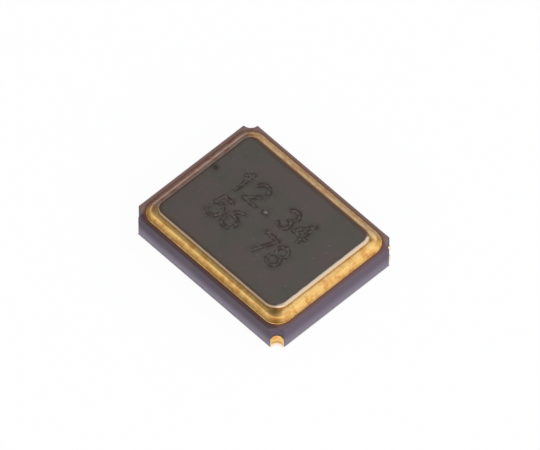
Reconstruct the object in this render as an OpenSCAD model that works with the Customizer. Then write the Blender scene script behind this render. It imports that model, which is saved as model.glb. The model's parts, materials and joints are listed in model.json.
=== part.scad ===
// Quartz crystal unit in a seam-sealed ceramic package, for surface mounting.
// Millimetres. The origin is the middle of the solder plane, +Z is up, +X runs along the package
// towards terminals 2 and 3, and +Y runs across it towards terminals 3 and 4.

/* [Ceramic base] */
// Length of the ceramic base, along X
package_length = 3.2; // [3.0:0.05:3.6]
// Width of the ceramic base, along Y
package_width = 2.5; // [2.3:0.05:2.8]
// Thickness of the ceramic floor layer
floor_thickness = 0.15; // [0.10:0.01:0.20]
// Height of the ceramic wall above the floor layer
wall_height = 0.25; // [0.24:0.01:0.34]
// Radius of the quarter-round notch in each corner
castellation_r = 0.15; // [0.10:0.01:0.18]
// Height of the ledge that carries the crystal, above the floor layer
ledge_height = 0.09; // [0.06:0.01:0.10]
// Length of that ledge, along X from the cavity's end wall
ledge_length = 0.45; // [0.40:0.01:0.50]
// Length of the pillow under the crystal's free end, along X
pillow_length = 0.16; // [0.10:0.01:0.24]
// Width of the pillow, along Y
pillow_width = 0.70; // [0.40:0.05:1.0]
// Radius of the cavity's corners
cavity_corner_r = 0.10; // [0.06:0.01:0.15]

/* [Terminals] */
// Length of a solder pad, along X
terminal_length = 0.95; // [0.80:0.01:1.05]
// Width of a solder pad, along Y
terminal_width = 0.80; // [0.70:0.01:0.85]
// Bare ceramic between a solder pad and the package's edges
terminal_margin = 0.05; // [0.03:0.01:0.08]
// Thickness of a solder pad
terminal_thickness = 0.02; // [0.015:0.005:0.03]
// Radius of a solder pad's three free corners
terminal_corner_r = 0.05; // [0.02:0.01:0.10]
// Chamfer that marks terminal 1, on its innermost corner
index_chamfer = 0.20; // [0.10:0.01:0.25]
// Thickness of the plating in a corner notch
notch_plating = 0.02; // [0.01:0.005:0.03]
// Height that the plating climbs in a corner notch, from the solder plane
notch_plating_height = 0.24; // [0.18:0.01:0.30]

/* [Seal] */
// Bare ceramic outside the seal at the short ends
seal_margin_x = 0.085; // [0.05:0.005:0.10]
// Bare ceramic outside the seal along the long sides
seal_margin_y = 0.075; // [0.05:0.005:0.10]
// Thickness of the plated tungsten frame on the ceramic
metallization_thickness = 0.012; // [0.008:0.002:0.02]
// Width of that frame that shows beyond the braze
metallization_lip = 0.005; // [0.004:0.001:0.01]
// Thickness of the braze under the ring
braze_thickness = 0.012; // [0.008:0.002:0.02]
// Reach of the braze fillet's foot beyond the ring
braze_reach = 0.06; // [0.04:0.005:0.07]
// Radius of the fillet's hollow face
braze_hollow_r = 0.14; // [0.10:0.01:0.20]
// Angle from upright, on the ring's rounded edge, of the place that the braze climbs to
braze_climb_angle = 53; // [50:1:70]
// Radius of the hollow braze fillet at the ring's inner foot
braze_inner_r = 0.02; // [0.01:0.005:0.03]
// Width of the ring's section
ring_section = 0.28; // [0.26:0.01:0.34]
// Height of the ring's section
ring_height = 0.066; // [0.062:0.002:0.12]
// Radius of the ring's outer corners, seen from above
ring_corner_r = 0.20; // [0.20:0.01:0.28]
// Radius of the ring's inner corners, seen from above
ring_inner_corner_r = 0.12; // [0.08:0.01:0.16]
// Rounding of the ring's outer top edge
ring_edge_r = 0.05; // [0.03:0.005:0.055]
// Ceramic that stands in past the ring at the cavity's mouth
cavity_lip = 0.04; // [0.035:0.005:0.06]

/* [Lid] */
// Ring left bare outside the lid at the short ends
lid_land_x = 0.10; // [0.08:0.005:0.14]
// Ring left bare outside the lid along the long sides
lid_land_y = 0.08; // [0.07:0.005:0.12]
// Thickness of the lid
lid_thickness = 0.06; // [0.055:0.005:0.10]
// Radius of the lid's corners, seen from above
lid_corner_r = 0.20; // [0.20:0.01:0.35]
// Rounding that the seam weld leaves on the lid's top edge
lid_edge_r = 0.045; // [0.03:0.005:0.048]
// Rounding of the lid's bottom edge, which leaves a fine line above the ring
lid_under_edge_r = 0.006; // [0.002:0.002:0.006]

/* [Crystal] */
// Thickness of the quartz plate
blank_thickness = 0.083; // [0.06:0.001:0.10]
// Gap between the plate's glued end and the cavity wall
blank_fixed_gap = 0.14; // [0.10:0.01:0.16]
// Gap between the plate's free end and the cavity wall
blank_free_gap = 0.19; // [0.14:0.01:0.24]
// Gap between the plate and the cavity wall at each side
blank_side_gap = 0.135; // [0.10:0.005:0.17]
// Thickness of the electrode films
electrode_thickness = 0.004; // [0.003:0.001:0.008]
// Bare quartz between an electrode and the glued end
electrode_fixed_margin = 0.42; // [0.36:0.01:0.50]
// Bare quartz between an electrode and the free end
electrode_free_margin = 0.22; // [0.12:0.01:0.30]
// Bare quartz between an electrode and each side
electrode_side_margin = 0.18; // [0.12:0.01:0.20]
// Radius of an electrode's corners
electrode_corner_r = 0.06; // [0.03:0.01:0.10]
// Width of an electrode's tab
tab_width = 0.26; // [0.20:0.01:0.32]
// Length of the top electrode's tab on the plate's underside
tab_return = 0.24; // [0.18:0.01:0.28]

/* [Mounting of the crystal] */
// Width of a mounting pad on the ledge, along Y
mounting_pad_width = 0.50; // [0.40:0.01:0.55]
// Thickness of a mounting pad
mounting_pad_thickness = 0.012; // [0.008:0.002:0.02]
// Bare ledge round a mounting pad at the cavity wall and at the ledge's front
mounting_pad_margin = 0.05; // [0.03:0.01:0.06]
// Bare ledge between a mounting pad and the cavity's side wall
mounting_pad_side_margin = 0.10; // [0.06:0.01:0.12]
// Radius of a glue dot's foot
dot_r = 0.15; // [0.12:0.01:0.17]
// Height that a glue dot would have with no crystal in it
dot_height = 0.075; // [0.06:0.005:0.09]
// Height of the glue left under the crystal
glue_gap = 0.025; // [0.015:0.005:0.035]

/* [Buried conductors] */
// Radius of a tungsten post
via_r = 0.05; // [0.03:0.01:0.06]
// Width of the buried track
track_width = 0.10; // [0.06:0.01:0.14]
// Thickness of the buried track
track_thickness = 0.012; // [0.008:0.002:0.02]

/* [Hidden] */
$fn = 96;
// Extra depth of a cut, so that it passes right through the face it opens
over = 0.05;

// Heights of the faces that pieces meet on
ceramic_z = terminal_thickness;
floor_z = ceramic_z + floor_thickness;
ledge_z = floor_z + ledge_height;
wall_z = floor_z + wall_height;
braze_z = wall_z + metallization_thickness;
ring_z = braze_z + braze_thickness;
lid_z = ring_z + ring_height;

// Sizes in plan, from the outside inwards
band_length = package_length - 2 * seal_margin_x;
band_width = package_width - 2 * seal_margin_y;
ring_length = band_length - 2 * (metallization_lip + braze_reach);
ring_width = band_width - 2 * (metallization_lip + braze_reach);
band_corner_r = ring_corner_r + braze_reach + metallization_lip;
opening_length = ring_length - 2 * ring_section;
opening_width = ring_width - 2 * ring_section;
band_opening_length = opening_length - 2 * (braze_inner_r + metallization_lip);
band_opening_width = opening_width - 2 * (braze_inner_r + metallization_lip);
cavity_length = opening_length - 2 * cavity_lip;
cavity_width = opening_width - 2 * cavity_lip;
lid_length = ring_length - 2 * lid_land_x;
lid_width = ring_width - 2 * lid_land_y;

// The crystal and what carries it; the glued end is at -X
pad_z = ledge_z + mounting_pad_thickness;
film_z = pad_z + glue_gap;
blank_z = film_z + electrode_thickness;
blank_fixed_x = -cavity_length / 2 + blank_fixed_gap;
blank_free_x = cavity_length / 2 - blank_free_gap;
blank_length = blank_free_x - blank_fixed_x;
blank_width = cavity_width - 2 * blank_side_gap;
electrode_length = blank_length - electrode_fixed_margin - electrode_free_margin;
electrode_width = blank_width - 2 * electrode_side_margin;
electrode_x = blank_fixed_x + electrode_fixed_margin + electrode_length / 2;
mounting_pad_length = ledge_length - 2 * mounting_pad_margin;
mounting_x = -cavity_length / 2 + ledge_length / 2;
mounting_y = cavity_width / 2 - mounting_pad_side_margin - mounting_pad_width / 2;
pillow_x = blank_free_x - pillow_length;

// Places of the buried posts; a post under a mounting pad lands on the solder pad below it
mounting_pad_outer_y = mounting_y + mounting_pad_width / 2;
terminal_inner_y = package_width / 2 - terminal_margin - terminal_width;
signal_post_y = (mounting_pad_outer_y + terminal_inner_y) / 2;
track_y = (cavity_width + package_width) / 4;
track_end_x = package_length / 2 - terminal_margin - terminal_length / 2;
ground_post_x = (ring_length - ring_section) / 2;
ground_post_y = (ring_width - ring_section) / 2;

// ---- Shapes that several pieces share ----

// Rectangle about the origin with true round corners.
module rounded_rect(length, width, radius) {
    square([length - 2 * radius, width], center = true);
    square([length, width - 2 * radius], center = true);
    for (x = [-1, 1], y = [-1, 1])
        translate([x * (length / 2 - radius), y * (width / 2 - radius)])
            circle(r = radius);
}

// Flat frame between two rounded rectangles.
module flat_frame(length, width, radius, hole_length, hole_width, hole_radius, thickness) {
    linear_extrude(height = thickness)
        difference() {
            rounded_rect(length, width, radius);
            rounded_rect(hole_length, hole_width, hole_radius);
        }
}

// Carries a section along the four sides and round the four corners of a rounded rectangle. In the
// section, x is the distance from a corner's centre, so the rectangle's edge is at x = radius.
module swept_frame(length, width, radius) {
    reach = [length / 2 - radius, width / 2 - radius];
    for (side = [0 : 3]) {
        out = reach[side % 2];
        along = reach[(side + 1) % 2];
        rotate([0, 0, 90 * side])
            translate([out, along, 0]) {
                rotate([90, 0, 0])
                    linear_extrude(height = 2 * along)
                        children();
                rotate_extrude(angle = 90)
                    children();
            }
    }
}

// Plate with round corners and rolled top and bottom edges.
module edged_plate(length, width, radius, thickness, top_r, bottom_r) {
    linear_extrude(height = thickness)
        square([length - 2 * radius, width - 2 * radius], center = true);
    swept_frame(length, width, radius)
        difference() {
            square([radius, thickness]);
            translate([radius - top_r, thickness - top_r])
                outside_corner(top_r);
            translate([radius - bottom_r, bottom_r])
                mirror([0, 1])
                    outside_corner(bottom_r);
        }
}

// What a square corner loses when it is rounded by radius r about the origin.
module outside_corner(r) {
    difference() {
        square(r + over);
        circle(r = r);
    }
}

// Section of the braze between the ring's outer wall, at x = 0, and the fillet's foot. The hollow
// face is an arc from the foot up to a place on the ring's rounded edge.
module outer_fillet_section() {
    edge_centre = [-ring_edge_r, braze_thickness + ring_height - ring_edge_r];
    foot = [braze_reach, braze_thickness];
    climb = edge_centre + ring_edge_r * [sin(braze_climb_angle), cos(braze_climb_angle)];
    chord = climb - foot;
    rise = sqrt(braze_hollow_r ^ 2 - norm(chord) ^ 2 / 4);
    hollow_centre = (foot + climb) / 2 + rise * [chord[1], -chord[0]] / norm(chord);
    difference() {
        polygon([[climb[0], 0], [foot[0], 0], foot, climb]);
        translate(hollow_centre)
            circle(r = braze_hollow_r);
        translate(edge_centre)
            circle(r = ring_edge_r);
        translate([-ring_edge_r, braze_thickness])
            square([ring_edge_r, ring_height - ring_edge_r]);
    }
}

// Section of a braze fillet that climbs a straight wall at x = 0, with some of the layer of braze
// behind it.
module fillet_section(r) {
    translate([-r, 0])
        square([2 * r, braze_thickness]);
    difference() {
        square([r, braze_thickness + r]);
        translate([r, braze_thickness + r])
            circle(r = r);
    }
}

// Places its children, drawn at the corner +X +Y, at one of the package's corners.
module at_corner(side_x, side_y) {
    mirror([side_x < 0 ? 1 : 0, 0, 0])
        mirror([0, side_y < 0 ? 1 : 0, 0])
            children();
}

// ---- Ceramic base ----

module package_outline() {
    difference() {
        square([package_length, package_width], center = true);
        for (x = [-1, 1], y = [-1, 1])
            translate([x * package_length / 2, y * package_width / 2])
                circle(r = castellation_r);
    }
}

module cavity_outline() {
    rounded_rect(cavity_length, cavity_width, cavity_corner_r);
}

// The part of the cavity below the ledge's top: all but the ledge and the pillow.
module cavity_foot_outline() {
    difference() {
        cavity_outline();
        translate([-cavity_length / 2 - over, -cavity_width / 2 - over])
            square([ledge_length + over, cavity_width + 2 * over]);
        translate([pillow_x - pillow_length / 2, -pillow_width / 2])
            square([pillow_length, pillow_width]);
    }
}

module ceramic_base() {
    color([0.33, 0.28, 0.34])
        difference() {
            translate([0, 0, ceramic_z])
                linear_extrude(height = wall_z - ceramic_z)
                    package_outline();
            translate([0, 0, ledge_z])
                linear_extrude(height = wall_z - ledge_z + over)
                    cavity_outline();
            translate([0, 0, floor_z])
                linear_extrude(height = ledge_height + over)
                    cavity_foot_outline();
            signal_via_1();
            signal_trace_3();
            ground_via_2();
            ground_via_4();
        }
}

// ---- Seal: plated tungsten frame, braze, ring and lid ----

module seal_metallization() {
    color([0.80, 0.64, 0.36])
        translate([0, 0, wall_z])
            flat_frame(
                band_length, band_width, band_corner_r,
                band_opening_length, band_opening_width, cavity_corner_r,
                metallization_thickness
            );
}

module braze_fillet() {
    color([0.78, 0.60, 0.32])
        translate([0, 0, braze_z]) {
            flat_frame(
                ring_length, ring_width, ring_corner_r,
                opening_length, opening_width, ring_inner_corner_r,
                braze_thickness
            );
            swept_frame(ring_length, ring_width, ring_corner_r)
                translate([ring_corner_r, 0])
                    outer_fillet_section();
            swept_frame(opening_length, opening_width, ring_inner_corner_r)
                translate([ring_inner_corner_r, 0])
                    mirror([1, 0])
                        fillet_section(braze_inner_r);
        }
}

module seal_ring() {
    color([0.86, 0.69, 0.38])
        translate([0, 0, ring_z])
            difference() {
                edged_plate(ring_length, ring_width, ring_corner_r, ring_height, ring_edge_r, 0);
                translate([0, 0, -over])
                    linear_extrude(height = ring_height + 2 * over)
                        rounded_rect(opening_length, opening_width, ring_inner_corner_r);
            }
}

module lid() {
    color([0.34, 0.32, 0.31])
        translate([0, 0, lid_z])
            edged_plate(
                lid_length, lid_width, lid_corner_r,
                lid_thickness, lid_edge_r, lid_under_edge_r
            );
}

// ---- Crystal ----

module quartz_blank() {
    color([0.85, 0.90, 0.92])
        translate([blank_fixed_x, -blank_width / 2, blank_z])
            cube([blank_length, blank_width, blank_thickness]);
}

// Electrode and the tab that runs from it to the glued end, at the side side_y of the plate.
module electrode_film(side_y) {
    linear_extrude(height = electrode_thickness) {
        translate([electrode_x, 0])
            rounded_rect(electrode_length, electrode_width, electrode_corner_r);
        translate([blank_fixed_x, side_y * mounting_y - tab_width / 2])
            square([electrode_fixed_margin + electrode_corner_r, tab_width]);
    }
}

// The top film also wraps the plate's end and returns under it to meet its glue dot. The wrap is one
// block with the plate taken out of it.
module electrode_top() {
    wrap_x = blank_fixed_x - electrode_thickness;
    wrap_height = blank_thickness + 2 * electrode_thickness;
    color([0.82, 0.82, 0.84]) {
        translate([0, 0, blank_z + blank_thickness])
            electrode_film(-1);
        difference() {
            translate([wrap_x, -mounting_y - tab_width / 2, film_z])
                cube([electrode_thickness + tab_return, tab_width, wrap_height]);
            quartz_blank();
        }
    }
}

module electrode_bottom() {
    color([0.82, 0.82, 0.84])
        translate([0, 0, film_z])
            electrode_film(1);
}

// ---- What holds the crystal ----

module mounting_pad(side_y) {
    color([0.86, 0.69, 0.38])
        translate([
            mounting_x - mounting_pad_length / 2,
            side_y * mounting_y - mounting_pad_width / 2,
            ledge_z
        ])
            cube([mounting_pad_length, mounting_pad_width, mounting_pad_thickness]);
}

module mounting_pad_1() {
    mounting_pad(-1);
}

module mounting_pad_2() {
    mounting_pad(1);
}

// Round cap of glue whose foot has radius dot_r and whose top would be dot_height high.
module glue_cap() {
    ball_r = (dot_r * dot_r + dot_height * dot_height) / (2 * dot_height);
    rotate_extrude()
        intersection() {
            translate([0, dot_height - ball_r])
                circle(r = ball_r);
            square([dot_r, dot_height]);
        }
}

// Glue fills the gap under the plate and climbs its end a little way.
module adhesive_dot_1() {
    color([0.62, 0.62, 0.62])
        difference() {
            translate([mounting_x, -mounting_y, pad_z])
                glue_cap();
            quartz_blank();
            electrode_top();
        }
}

module adhesive_dot_2() {
    color([0.62, 0.62, 0.62])
        difference() {
            translate([mounting_x, mounting_y, pad_z])
                glue_cap();
            quartz_blank();
            electrode_bottom();
        }
}

// ---- Buried conductors ----

// Tungsten post at (x, y) between two heights.
module post(x, y, low_z, high_z) {
    translate([x, y, low_z])
        cylinder(r = via_r, h = high_z - low_z);
}

module signal_via_1() {
    color([0.45, 0.45, 0.47])
        post(mounting_x, -signal_post_y, ceramic_z, ledge_z);
}

// Down from mounting pad 2, along a track under the side wall, and down to terminal 3.
module signal_trace_3() {
    color([0.45, 0.45, 0.47]) {
        post(mounting_x, signal_post_y, floor_z, ledge_z);
        translate([0, 0, floor_z])
            linear_extrude(height = track_thickness) {
                translate([mounting_x - track_width / 2, signal_post_y])
                    square([track_width, track_y - signal_post_y]);
                translate([mounting_x, track_y - track_width / 2])
                    square([track_end_x - mounting_x, track_width]);
                translate([mounting_x, track_y])
                    circle(d = track_width);
                translate([track_end_x, track_y])
                    circle(r = max(via_r, track_width / 2));
            }
        post(track_end_x, track_y, ceramic_z, floor_z + track_thickness);
    }
}

module ground_via_2() {
    color([0.45, 0.45, 0.47])
        post(ground_post_x, -ground_post_y, ceramic_z, wall_z);
}

module ground_via_4() {
    color([0.45, 0.45, 0.47])
        post(-ground_post_x, ground_post_y, ceramic_z, wall_z);
}

// ---- Terminals ----

// Solder pad at the corner +X +Y, with a chamfer on its innermost corner if chamfer is over 0.
module solder_pad_outline(chamfer) {
    inner_x = package_length / 2 - terminal_margin - terminal_length;
    inner_y = terminal_inner_y;
    difference() {
        translate([inner_x + terminal_length / 2, inner_y + terminal_width / 2])
            rounded_rect(terminal_length, terminal_width, terminal_corner_r);
        translate([package_length / 2, package_width / 2])
            circle(r = castellation_r - notch_plating);
        if (chamfer > 0)
            polygon([
                [inner_x - over, inner_y - over],
                [inner_x + chamfer + over, inner_y - over],
                [inner_x - over, inner_y + chamfer + over]
            ]);
    }
}

// Plating on the wall of the notch at the corner +X +Y, flush with the package's sides.
module notch_plating_outline() {
    translate([package_length / 2, package_width / 2])
        intersection() {
            difference() {
                circle(r = castellation_r);
                circle(r = castellation_r - notch_plating);
            }
            translate([-castellation_r, -castellation_r])
                square(castellation_r);
        }
}

module terminal(side_x, side_y, chamfer) {
    color([0.86, 0.69, 0.38])
        at_corner(side_x, side_y) {
            linear_extrude(height = terminal_thickness)
                solder_pad_outline(chamfer);
            linear_extrude(height = notch_plating_height)
                notch_plating_outline();
        }
}

module terminal_1() {
    terminal(-1, -1, index_chamfer);
}

module terminal_2() {
    terminal(1, -1, 0);
}

module terminal_3() {
    terminal(1, 1, 0);
}

module terminal_4() {
    terminal(-1, 1, 0);
}

ceramic_base();
seal_metallization();
braze_fillet();
seal_ring();
lid();
quartz_blank();
electrode_top();
electrode_bottom();
adhesive_dot_1();
adhesive_dot_2();
mounting_pad_1();
mounting_pad_2();
signal_via_1();
signal_trace_3();
ground_via_2();
ground_via_4();
terminal_1();
terminal_2();
terminal_3();
terminal_4();
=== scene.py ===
# %% [markdown]
# # A quartz crystal unit in a seam-sealed ceramic package
#
# The real thing is 3.2 mm long: a block of dark ceramic with a notch in each corner, a gold-plated
# metal frame brazed on top of it, and a dark metal lid that is welded on last. This lesson dresses
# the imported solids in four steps: it loads them, gives the outside pieces finer surfaces worked out
# with numpy, gives every piece a finish, and puts a floor, soft light and a camera round it.
#
# Loading comes first, because every place below is read from the solids.

# %% Load the solids
import json
import math

import bpy
import numpy as np
from mathutils import Matrix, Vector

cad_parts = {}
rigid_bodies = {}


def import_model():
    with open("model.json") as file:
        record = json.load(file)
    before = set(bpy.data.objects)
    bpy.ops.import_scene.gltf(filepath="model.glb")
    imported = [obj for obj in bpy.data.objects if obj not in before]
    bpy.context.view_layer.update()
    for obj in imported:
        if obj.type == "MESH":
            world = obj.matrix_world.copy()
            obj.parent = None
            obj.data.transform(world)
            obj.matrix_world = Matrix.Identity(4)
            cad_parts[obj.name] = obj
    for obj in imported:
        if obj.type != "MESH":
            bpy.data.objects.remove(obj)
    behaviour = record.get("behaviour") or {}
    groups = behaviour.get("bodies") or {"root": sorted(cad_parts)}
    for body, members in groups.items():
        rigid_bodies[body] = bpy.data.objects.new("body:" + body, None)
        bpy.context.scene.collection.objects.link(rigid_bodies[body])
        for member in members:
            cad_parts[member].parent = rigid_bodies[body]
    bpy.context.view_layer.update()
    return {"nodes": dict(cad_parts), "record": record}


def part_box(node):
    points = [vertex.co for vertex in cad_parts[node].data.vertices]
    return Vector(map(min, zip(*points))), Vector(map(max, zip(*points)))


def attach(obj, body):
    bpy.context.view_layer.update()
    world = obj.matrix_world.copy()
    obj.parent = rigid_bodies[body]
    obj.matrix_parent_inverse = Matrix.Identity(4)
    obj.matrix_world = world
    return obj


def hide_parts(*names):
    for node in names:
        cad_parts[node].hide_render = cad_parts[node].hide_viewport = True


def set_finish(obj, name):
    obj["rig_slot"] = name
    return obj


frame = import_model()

MM = 0.001
solids = frame["nodes"]


# %% [markdown]
# ## Sizes
#
# Half lengths and heights are read from the solids' boxes, in millimetres. A box says nothing of a
# radius or of a step inside, so those are named here, and they are the ones that the solids have.
# Only the lid's four corners differ: stamping left them a little unequal, so they have four radii,
# anticlockwise from the corner at +x +y.

# %% Half sizes and heights


def low(node):
    """Lowest corner of a solid's box, in millimetres."""
    return np.array(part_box(node)[0]) / MM


def high(node):
    """Highest corner of a solid's box, in millimetres."""
    return np.array(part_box(node)[1]) / MM


package_half = high("ceramic_base")[:2]
band_half = high("seal_metallization")[:2]
ring_half = high("seal_ring")[:2]
lid_half = high("lid")[:2]
pad_bottom = low("terminal_3")[2]
ceramic_z = low("ceramic_base")[2]
ledge_z = low("mounting_pad_1")[2]
wall_z = high("ceramic_base")[2]
braze_z = low("braze_fillet")[2]
ring_z = low("seal_ring")[2]
lid_z = low("lid")[2]
top_z = high("lid")[2]
print("levels in mm:", np.round([ceramic_z, ledge_z, wall_z, braze_z, ring_z, lid_z, top_z], 3))

# %% Radii and steps that a box can't tell
CERAMIC_FLOOR = 0.15
NOTCH_R = 0.15
CAVITY_STEP = 0.04
CAVITY_R = 0.10
RING_SECTION = 0.28
RING_R = 0.20
RING_INNER_R = 0.12
RING_EDGE_R = 0.05
RING_EDGE_TURN = 80
RING_FALL = 0.012
BRAZE_REACH = 0.06
BRAZE_HOLLOW_R = 0.14
BRAZE_CLIMB_ANGLE = math.radians(53)
BRAZE_INNER_R = 0.02
BAND_LIP = 0.005
LID_R = (0.19, 0.18, 0.18, 0.26)
LID_EDGE_R = 0.045
LID_UNDER_R = 0.006
floor_z = ceramic_z + CERAMIC_FLOOR
round_z = lid_z - RING_FALL - RING_EDGE_R * math.sin(math.radians(RING_EDGE_TURN))
opening_half = ring_half - RING_SECTION
cavity_half = opening_half - CAVITY_STEP
band_opening_half = opening_half - BRAZE_INNER_R - BAND_LIP
print("cavity in mm:", np.round(2 * cavity_half, 3))

# %% [markdown]
# ## Outlines
#
# Everything on the outside is a rectangle with four corners of one kind, seen from above. So one
# function draws a corner, and another turns it through four quarters and joins the four with
# straight sides. Each point also gets the direction that points out of the material there, which
# later says which way to grow or shrink the outline. Every outline has the same number of points in
# the same order, so that any two of them can be joined by a strip of faces.

# %% Corners and outlines
ARC_STEPS = 36
HORN_STEPS = 6
SIDE_STEPS = (90, 70)


def turned(points, degrees):
    """Turns rows of (x, y) anticlockwise about the origin."""
    c, s = math.cos(math.radians(degrees)), math.sin(math.radians(degrees))
    return points @ np.array([[c, s], [-s, c]])


def directions(start, stop, steps):
    """Unit vectors (cos a, sin a), as the angle a goes from start to stop in equal steps."""
    angle = np.linspace(start, stop, steps + 1)
    return np.stack([np.cos(angle), np.sin(angle)], -1)


def round_corner(radius):
    """Corner at the origin rounded by a quarter circle: radius times (cos a - 1, sin a - 1)."""
    ways = directions(0.0, math.pi / 2, ARC_STEPS)
    return radius * (ways - 1.0), ways


def notched_corner(radius, horn_r):
    """Corner at the origin with a hollow quarter circle, whose two horns are rounded a little.

    A horn's circle touches the straight side and the hollow circle. Its centre lies horn_r inside
    the side, and the square root of (radius squared + 2 radius horn_r) from the corner along it.
    """
    reach = math.sqrt(radius * radius + 2 * radius * horn_r)
    lean = math.atan2(horn_r, reach)
    horn = directions(0.0, math.pi / 2 - lean, HORN_STEPS)
    hollow = -directions(math.pi / 2 - lean, lean, ARC_STEPS - 2 * HORN_STEPS - 2)
    first = np.array([-horn_r, -reach]) + horn_r * horn
    last = (np.array([-horn_r, -reach]) + horn_r * horn)[::-1, ::-1]
    points = np.concatenate([first, radius * hollow, last])
    ways = np.concatenate([horn, -hollow, horn[::-1, ::-1]])
    return points, ways


def outline(half, corners, side_steps=SIDE_STEPS):
    """Closed outline with four corners turned into their places, anticlockwise from above.

    The first corner is the one at +x +y. A straight side goes from one corner's last point to the
    next corner's first point in equal steps, and it points the way that the corner's end points.
    """
    points, ways = [], []
    signs = [(1, 1), (-1, 1), (-1, -1), (1, -1)]
    for quarter, sign in enumerate(signs):
        following = signs[(quarter + 1) % 4]
        here = turned(corners[quarter][0], 90 * quarter) + np.array(sign) * half
        next_point = corners[(quarter + 1) % 4][0][:1]
        after = turned(next_point, 90 * (quarter + 1)) + np.array(following) * half
        out = turned(corners[quarter][1], 90 * quarter)
        steps = side_steps[quarter % 2]
        share = np.arange(1, steps)[:, None] / steps
        points += [here, here[-1] + (after[0] - here[-1]) * share]
        ways += [out, np.repeat(out[-1:], steps - 1, 0)]
    return np.concatenate(points), np.concatenate(ways)


def rounded(half, radii, side_steps=SIDE_STEPS):
    """Rounded rectangle of the given half sizes, with one corner radius or four."""
    corners = [round_corner(radius) for radius in np.broadcast_to(radii, 4)]
    return outline(np.array(half), corners, side_steps)


print("points round an outline:", len(rounded(ring_half, RING_R)[0]))

# %% [markdown]
# ## Surfaces
#
# A piece is a pile of such outlines, one row above or inside the last: the profile carried along
# the outline. A row is the outline moved outwards by an offset at a height. Neighbouring points of
# neighbouring rows make a face, and a flat face closes the pile at its ends. A shape that runs on
# into itself, such as a frame, needs no end.

# %% Rows and faces


def row(shape, offset, height):
    """The outline moved along its outward directions by offset, at a height, as (x, y, z)."""
    points, ways = shape
    offset = np.broadcast_to(offset, len(points))[:, None]
    height = np.broadcast_to(height, len(points))[:, None]
    return np.concatenate([points + ways * offset, height], -1)


def rows_between(first, last, steps):
    """Rows that go in equal steps from one row to another, both left out."""
    return [first + (last - first) * k / steps for k in range(1, steps)]


def bend(centre_offset, centre_height, radius, start, stop, steps=6):
    """Offsets and heights along a circle's arc in the section, with angles in degrees."""
    way = directions(math.radians(start), math.radians(stop), steps)
    return [(centre_offset + radius * c, centre_height + radius * s) for c, s in way]


def strip_faces(rows, columns, closed_rows=False):
    """Faces of a pile: point j of row i, point j + 1, and the same two points of row i + 1."""
    i, j = np.meshgrid(np.arange(rows if closed_rows else rows - 1), np.arange(columns), indexing="ij")
    above, beside = (i + 1) % rows, (j + 1) % columns
    corners = [i * columns + j, i * columns + beside, above * columns + beside, above * columns + j]
    return np.stack(corners, -1).reshape(-1, 4)


def pile(rows, closed_rows=False):
    """Points and faces of a pile of rows, with a flat face at each end unless the rows close."""
    columns = len(rows[0])
    faces = strip_faces(len(rows), columns, closed_rows).tolist()
    if not closed_rows:
        first = np.arange(columns)
        faces.append(first[::-1].tolist())
        faces.append((first + (len(rows) - 1) * columns).tolist())
    return np.concatenate(rows), faces


def joined(*parts):
    """Several sets of points and faces as one."""
    points, faces, count = [], [], 0
    for part_points, part_faces in parts:
        points.append(part_points)
        faces += [[index + count for index in face] for face in part_faces]
        count += len(part_points)
    return np.concatenate(points), faces


print("faces between two rows of four points:", len(strip_faces(2, 4)))

# %% [markdown]
# Points in millimetres become a mesh in metres, whose object stays at the origin. The mesh is shaded
# smooth, apart from edges sharper than 40 degrees: so a rounded edge looks round with a few rows,
# and a flat face stays flat. The object rides on its body, the solids that it stands in for are
# hidden, and it says which finish it takes.

# %% Make an object


def add_piece(name, shape, slot, *stands_for, smooth_below=40, **values):
    """Makes a mesh object from points in millimetres, on the one body and in place of its solids.

    Each extra named value is an attribute with one number a point, which the finish can read.
    """
    points, faces = shape
    mesh = bpy.data.meshes.new(name)
    mesh.from_pydata((points * MM).tolist(), [], faces)
    for label, numbers in values.items():
        mesh.attributes.new(label, "FLOAT", "POINT").data.foreach_set("value", numbers)
    mesh.validate()
    mesh.shade_smooth()
    mesh.set_sharp_from_angle(angle=math.radians(smooth_below))
    piece = bpy.data.objects.new(name, mesh)
    bpy.context.scene.collection.objects.link(piece)
    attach(piece, "root")
    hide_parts(*stands_for)
    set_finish(piece, slot)
    print(name, "points", len(mesh.vertices), "faces", len(mesh.polygons))
    return piece


# %% [markdown]
# ## Unevenness
#
# Nothing on a real package is ruled straight at this scale: braze creeps up a metal wall a little
# more here than there, and a stamped frame is slightly wavy. A sum of plane waves that run in
# random directions gives a smooth unevenness, the same on each run because its draws are seeded.

# %% Smooth unevenness


def ripple(points, wavelength, seed, waves=14):
    """Sum of sines of the distance along random directions, scaled to lie mostly within -1 to 1."""
    draw = np.random.default_rng(seed)
    ways = draw.normal(size=(points.shape[-1], waves))
    ways /= np.linalg.norm(ways, axis=0)
    pace = draw.uniform(0.6, 1.5, waves)
    phase = draw.uniform(0, 2 * math.pi, waves)
    return np.sin(points @ (ways * pace) * (2 * math.pi / wavelength) + phase).sum(-1) / math.sqrt(waves)


print("ripple along x:", np.round(ripple(np.array([[0.0, 0.0], [0.5, 0.0]]), 0.4, 1), 2))

# %% [markdown]
# ## Ceramic base
#
# The base is fired from stacked sheets of dark alumina, punched with round holes where four packages
# meet, so that each corner keeps a quarter of a hole. Its edges are nearly sharp, and wear rounds
# them by a hundredth of a millimetre. A block could be cut with Booleans and softened with a Bevel,
# but a bevel rounds the stepped cavity as well, where the fired sheets are sharp. A pile of rows has
# a round just where it belongs.
#
# The pile starts under the bottom, climbs the outside, crosses the top to the cavity's rim, goes
# down to the ledge, and then down again past the ledge's front. The ledge is made by moving the
# rows' points no further than its front: the points that fall together there are merged. The flat
# strip inside the rounded bottom edge is narrower than a horn's radius, because a wider one would
# turn over at the horns.

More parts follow.
